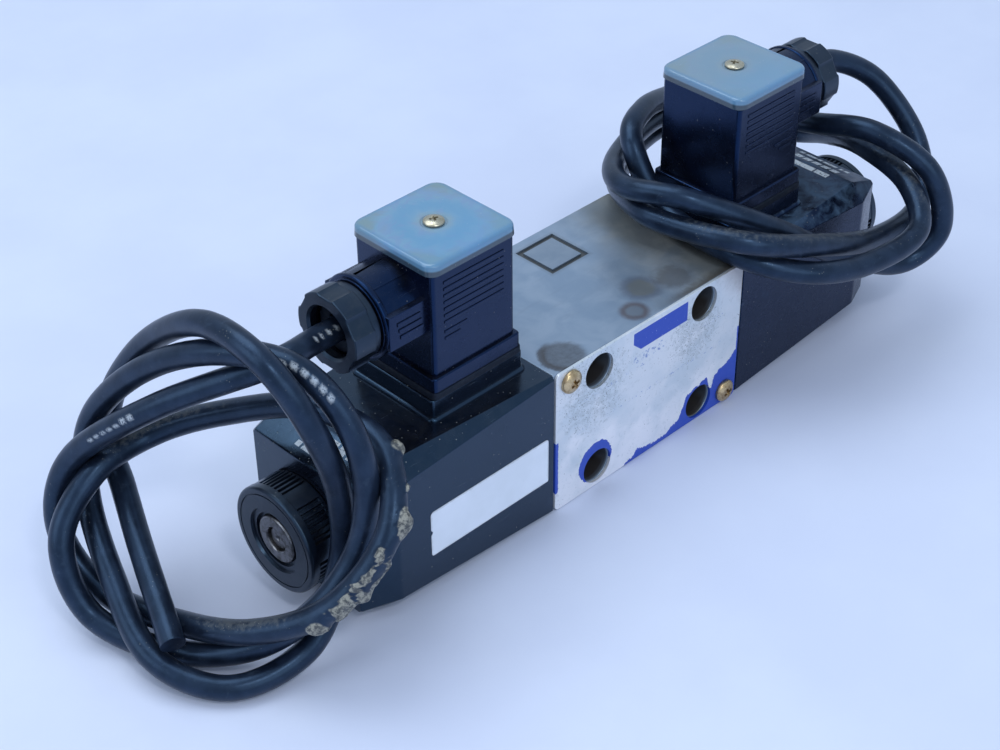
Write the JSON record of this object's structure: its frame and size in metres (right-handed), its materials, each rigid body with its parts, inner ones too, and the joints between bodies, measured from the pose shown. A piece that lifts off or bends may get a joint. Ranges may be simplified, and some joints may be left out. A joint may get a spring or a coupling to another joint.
{
  "type": "solenoid directional valve",
  "caption": "Hydraulic directional spool valve with a solenoid, hand nut, square cable plug and loose coil of cable at each end of a steel body.",
  "frame": {"origin": "centre of the port face", "axes": "+X along the spool towards solenoid b, +Y out of the port face, +Z towards the plugs"},
  "size_m": [0.269, 0.0976, 0.0886],
  "materials": {
    "steel_body": "milled, oil-stained",
    "nameplate": "worn satin with a faded blue print",
    "plated_screw": "yellow-passivated, worn",
    "ground_steel": "ground",
    "iron": "turned",
    "coil_plastic": "glossy black, scuffed",
    "nut_plastic": "moulded black, dusty",
    "plug_plastic": "moulded black, dusty",
    "insert_plastic": "moulded dark grey",
    "bobbin_plastic": "natural moulding",
    "winding_copper": "enamelled copper wire",
    "terminal_brass": "tinned brass",
    "cap_plastic": "smoky translucent blue-grey",
    "seal_rubber": "matte black",
    "cable_sheath": "dusty black sheath",
    "label_paper": "blank white adhesive label"
  },
  "bodies": {
    "valve": {"valve_body": "steel_body", "nameplate": "nameplate", "nameplate_screw_upper": "plated_screw", "nameplate_screw_lower": "plated_screw", "port_seal_p": "seal_rubber", "port_seal_a": "seal_rubber", "port_seal_b": "seal_rubber", "port_seal_t": "seal_rubber", "coil_label": "label_paper", "cable_a": "cable_sheath", "cable_b": "cable_sheath", "coil_housing_a": "coil_plastic", "coil_bobbin_a": "bobbin_plastic", "coil_winding_a": "winding_copper", "coil_seal_a": "seal_rubber", "core_tube_a": "ground_steel", "centring_spring_a": "ground_steel", "nut_seal_a": "seal_rubber", "terminal_line_a": "terminal_brass", "terminal_return_a": "terminal_brass", "terminal_earth_a": "terminal_brass", "plug_gasket_a": "seal_rubber", "plug_housing_a": "plug_plastic", "plug_insert_a": "insert_plastic", "plug_cap_a": "cap_plastic", "cap_seal_a": "seal_rubber", "plug_screw_a": "plated_screw", "gland_grommet_a": "seal_rubber", "coil_housing_b": "coil_plastic", "coil_bobbin_b": "bobbin_plastic", "coil_winding_b": "winding_copper", "coil_seal_b": "seal_rubber", "core_tube_b": "ground_steel", "centring_spring_b": "ground_steel", "nut_seal_b": "seal_rubber", "terminal_line_b": "terminal_brass", "terminal_return_b": "terminal_brass", "terminal_earth_b": "terminal_brass", "plug_gasket_b": "seal_rubber", "plug_housing_b": "plug_plastic", "plug_insert_b": "insert_plastic", "plug_cap_b": "cap_plastic", "cap_seal_b": "seal_rubber", "plug_screw_b": "plated_screw", "gland_grommet_b": "seal_rubber"},
    "spool": {"spool": "ground_steel", "spring_seat_a": "ground_steel", "spring_seat_b": "ground_steel"},
    "armature_a": {"armature_a": "iron", "push_pin_a": "ground_steel"},
    "armature_b": {"armature_b": "iron", "push_pin_b": "ground_steel"},
    "override_a": {"override_pin_a": "ground_steel"},
    "override_b": {"override_pin_b": "ground_steel"},
    "coil_nut_a": {"coil_nut_a": "nut_plastic"},
    "coil_nut_b": {"coil_nut_b": "nut_plastic"},
    "gland_nut_a": {"gland_nut_a": "nut_plastic"},
    "gland_nut_b": {"gland_nut_b": "nut_plastic"}
  },
  "joints": [
    {"name": "spool_slide", "type": "slide", "parent": "valve", "child": "spool", "axis": [1, 0, 0], "range_m": [-0.003, 0.003], "stiffness_N_per_m": 3000, "deforming": ["centring_spring_a", "centring_spring_b"]},
    {"name": "armature_a_slide", "type": "slide", "parent": "valve", "child": "armature_a", "axis": [1, 0, 0], "range_m": [-0.003, 0.003]},
    {"name": "armature_b_slide", "type": "slide", "parent": "valve", "child": "armature_b", "axis": [1, 0, 0], "range_m": [-0.003, 0.003]},
    {"name": "override_a_slide", "type": "slide", "parent": "valve", "child": "override_a", "axis": [1, 0, 0], "range_m": [0, 0.003]},
    {"name": "override_b_slide", "type": "slide", "parent": "valve", "child": "override_b", "axis": [1, 0, 0], "range_m": [-0.003, 0]},
    {"name": "coil_nut_a_turn", "type": "hinge", "parent": "valve", "child": "coil_nut_a", "pos_m": [-0.1045, -0.0274, 0], "axis": [1, 0, 0], "continuous": true},
    {"name": "coil_nut_b_turn", "type": "hinge", "parent": "valve", "child": "coil_nut_b", "pos_m": [0.1045, -0.0274, 0], "axis": [1, 0, 0], "continuous": true},
    {"name": "gland_nut_a_turn", "type": "hinge", "parent": "valve", "child": "gland_nut_a", "pos_m": [-0.0847, -0.0274, 0.0505], "axis": [1, 0, 0], "continuous": true},
    {"name": "gland_nut_b_turn", "type": "hinge", "parent": "valve", "child": "gland_nut_b", "pos_m": [0.0847, -0.0274, 0.0505], "axis": [1, 0, 0], "continuous": true}
  ],
  "couplings": [
    {"joint": "armature_a_slide", "follows": "spool_slide", "ratio": 1},
    {"joint": "armature_b_slide", "follows": "spool_slide", "ratio": 1}
  ]
}
